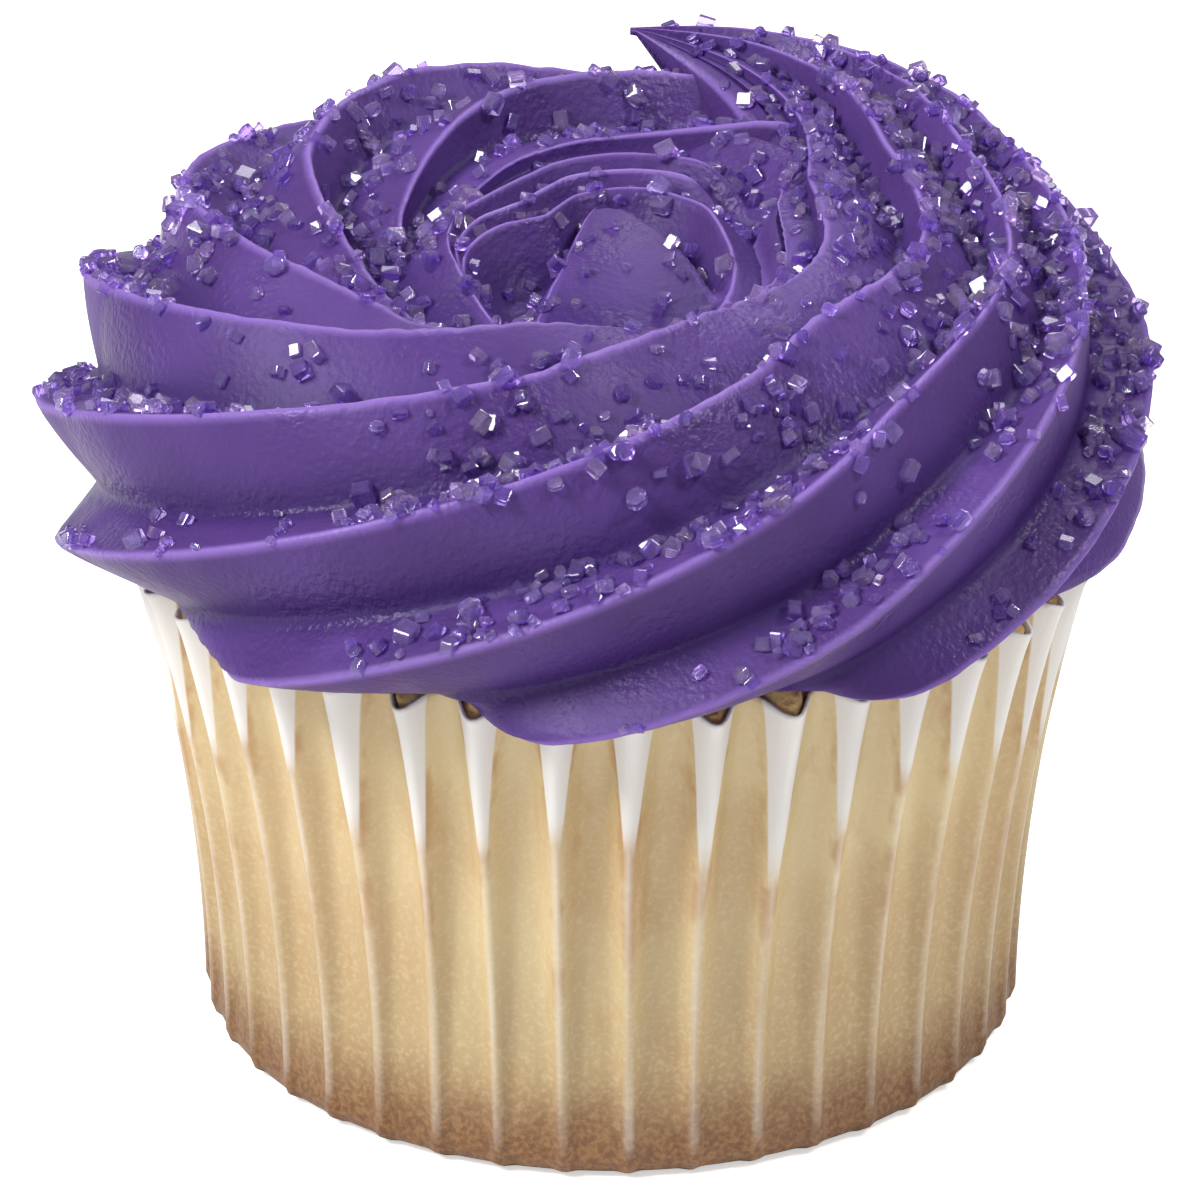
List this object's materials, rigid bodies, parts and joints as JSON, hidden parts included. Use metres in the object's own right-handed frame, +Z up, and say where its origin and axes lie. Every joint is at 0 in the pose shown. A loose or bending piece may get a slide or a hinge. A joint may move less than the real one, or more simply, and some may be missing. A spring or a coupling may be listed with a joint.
{
  "type": "cupcake",
  "caption": "Round sponge cupcake in a fluted paper case, topped with a twisted ring of star-piped icing that ends in a pulled tail.",
  "frame": {"origin": "centre of the paper case's flat underside", "axes": "+Z up along the case's axis, -Y towards the front of the swirl; the tail of the icing is at the back"},
  "size_m": [0.0655, 0.0659, 0.0525],
  "materials": {
    "paper": "matt, greased by the cake it holds",
    "sponge": "fine open crumb",
    "buttercream": "satin, moist"
  },
  "bodies": {
    "root": {"paper_case": "paper", "cake": "sponge", "icing": "buttercream"}
  },
  "joints": []
}
